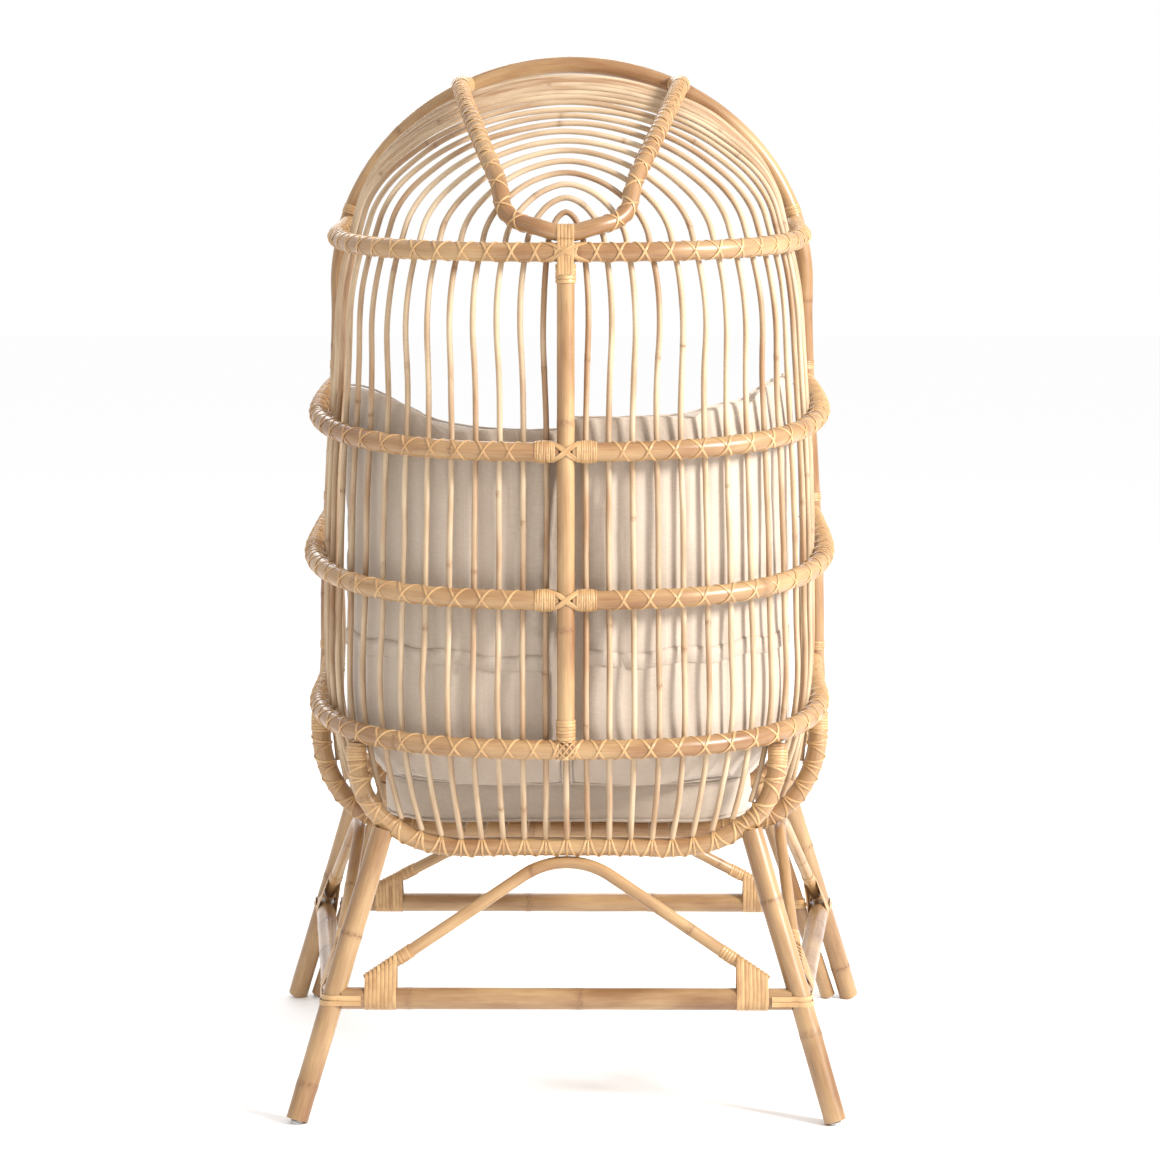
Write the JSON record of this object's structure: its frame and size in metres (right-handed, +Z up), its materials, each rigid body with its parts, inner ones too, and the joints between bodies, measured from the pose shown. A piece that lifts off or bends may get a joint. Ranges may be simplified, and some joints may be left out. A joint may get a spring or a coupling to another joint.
{
  "type": "rattan egg chair",
  "caption": "Free-standing rattan egg chair: a hooded basket of bent poles, rings and arched spindles on splayed legs, with loose seat and back cushions.",
  "frame": {"origin": "on the floor under the middle of the chair, centred between its sides and between its back and front feet", "axes": "+Z up, -Y out of the open front of the basket, +X to the sitter's left"},
  "size_m": [0.9314, 0.7422, 1.505],
  "materials": {
    "rattan_pole": "satin lacquer",
    "thin_rattan": "satin",
    "cane_strip": "satin",
    "cushion_cotton": "woven cotton",
    "glide_plastic": "matte",
    "screw_steel": "zinc"
  },
  "bodies": {
    "chair": {"arch_spindle_01": "thin_rattan", "arch_spindle_02": "thin_rattan", "arch_spindle_03": "thin_rattan", "arch_spindle_04": "thin_rattan", "arch_spindle_05": "thin_rattan", "arch_spindle_06": "thin_rattan", "arch_spindle_07": "thin_rattan", "arch_spindle_08": "thin_rattan", "arch_spindle_09": "thin_rattan", "arch_spindle_10": "thin_rattan", "arch_spindle_11": "thin_rattan", "arch_spindle_12": "thin_rattan", "arch_spindle_13": "thin_rattan", "arch_spindle_14": "thin_rattan", "arch_spindle_15": "thin_rattan", "arch_spindle_16": "thin_rattan", "arch_spindle_17": "thin_rattan", "arch_spindle_18": "thin_rattan", "arch_spindle_19": "thin_rattan", "arch_spindle_20": "thin_rattan", "back_brace": "rattan_pole", "back_cradle_pole": "rattan_pole", "back_leg_left": "rattan_pole", "back_leg_right": "rattan_pole", "back_stretcher": "rattan_pole", "centre_back_pole": "rattan_pole", "centre_spindle": "thin_rattan", "cradle_lashing": "cane_strip", "foot_glides": "glide_plastic", "frame_screws": "screw_steel", "front_brace": "rattan_pole", "front_hoop": "rattan_pole", "front_leg_left": "rattan_pole", "front_leg_right": "rattan_pole", "front_stretcher": "rattan_pole", "hood_loop": "rattan_pole", "hood_loop_lashing": "cane_strip", "inner_front_leg_left": "rattan_pole", "inner_front_leg_right": "rattan_pole", "left_brace": "rattan_pole", "left_stretcher": "rattan_pole", "mid_cradle_pole": "rattan_pole", "pole_bindings": "cane_strip", "right_brace": "rattan_pole", "right_stretcher": "rattan_pole", "ring_1": "rattan_pole", "ring_1_lashing": "cane_strip", "ring_2_lashing": "cane_strip", "ring_2_left": "rattan_pole", "ring_2_right": "rattan_pole", "ring_3_lashing": "cane_strip", "ring_3_left": "rattan_pole", "ring_3_right": "rattan_pole", "ring_4": "rattan_pole", "ring_4_lashing": "cane_strip", "seat_slats": "thin_rattan", "stretcher_bindings": "cane_strip"},
    "seat_cushion_body": {"seat_cushion": "cushion_cotton"},
    "back_cushion_left_body": {"back_cushion_left": "cushion_cotton"},
    "back_cushion_right_body": {"back_cushion_right": "cushion_cotton"}
  },
  "joints": [
    {"name": "seat_cushion_lift_out", "type": "slide", "parent": "chair", "child": "seat_cushion_body", "axis": [0, -1, 0], "range_m": [0, 0.54]},
    {"name": "back_cushion_left_lift_out", "type": "slide", "parent": "chair", "child": "back_cushion_left_body", "axis": [0, -1, 0], "range_m": [0, 0.62]},
    {"name": "back_cushion_right_lift_out", "type": "slide", "parent": "chair", "child": "back_cushion_right_body", "axis": [0, -1, 0], "range_m": [0, 0.62]}
  ]
}
